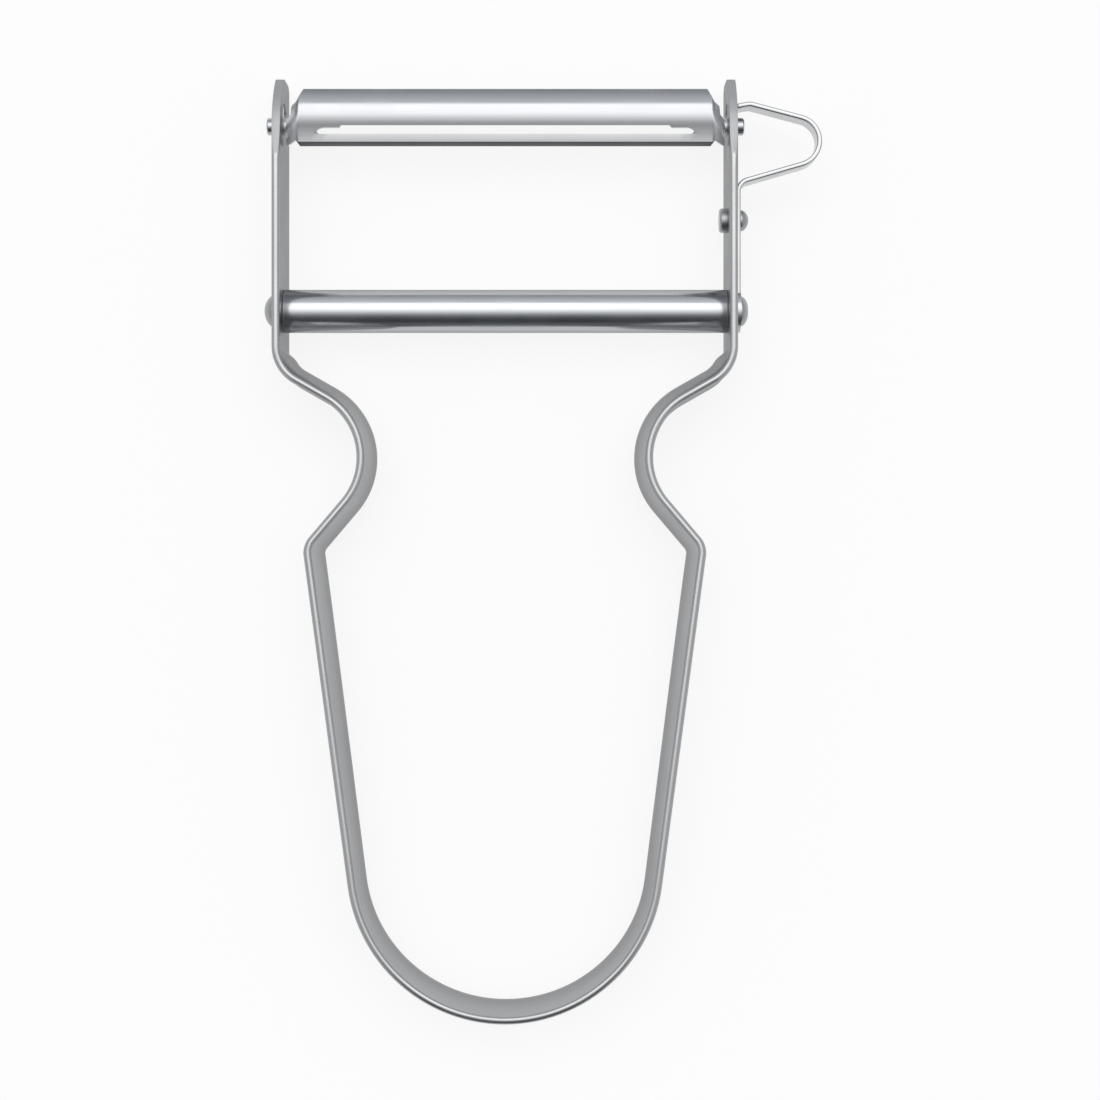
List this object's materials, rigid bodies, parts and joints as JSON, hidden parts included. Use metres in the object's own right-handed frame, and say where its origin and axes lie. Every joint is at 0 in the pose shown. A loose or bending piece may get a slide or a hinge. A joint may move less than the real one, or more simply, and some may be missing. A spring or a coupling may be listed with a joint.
{
  "type": "swivel vegetable peeler",
  "caption": "Yoke peeler of bent aluminium strip with a swivelling slotted steel blade, a spacer tube and an eye remover loop on one arm; peels vegetables and fruit.",
  "frame": {"origin": "centre of the bounding box in X and Y, on the surface the tool rests on when it lies on its back edge", "axes": "+X across the frame towards the eye remover, +Y from the handle bow to the blade, +Z from the resting edge to the front edge"},
  "size_m": [0.0674, 0.1136, 0.01],
  "materials": {
    "strap_aluminium": "satin, drawn along the strip",
    "blade_steel": "polished",
    "tube_steel": "polished",
    "rivet_metal": "as headed",
    "loop_steel": "bright"
  },
  "bodies": {
    "frame": {"frame_strap": "strap_aluminium", "spacer_tube": "tube_steel", "tie_rivet": "rivet_metal", "eye_remover": "loop_steel", "eye_remover_rivet": "rivet_metal"},
    "blade": {"swivel_blade": "blade_steel"}
  },
  "joints": [
    {"name": "blade_swivel", "type": "hinge", "parent": "frame", "child": "blade", "pos_m": [-0.00451, 0.05109, 0.005], "axis": [1, 0, 0], "range_deg": [-30, 30]}
  ]
}
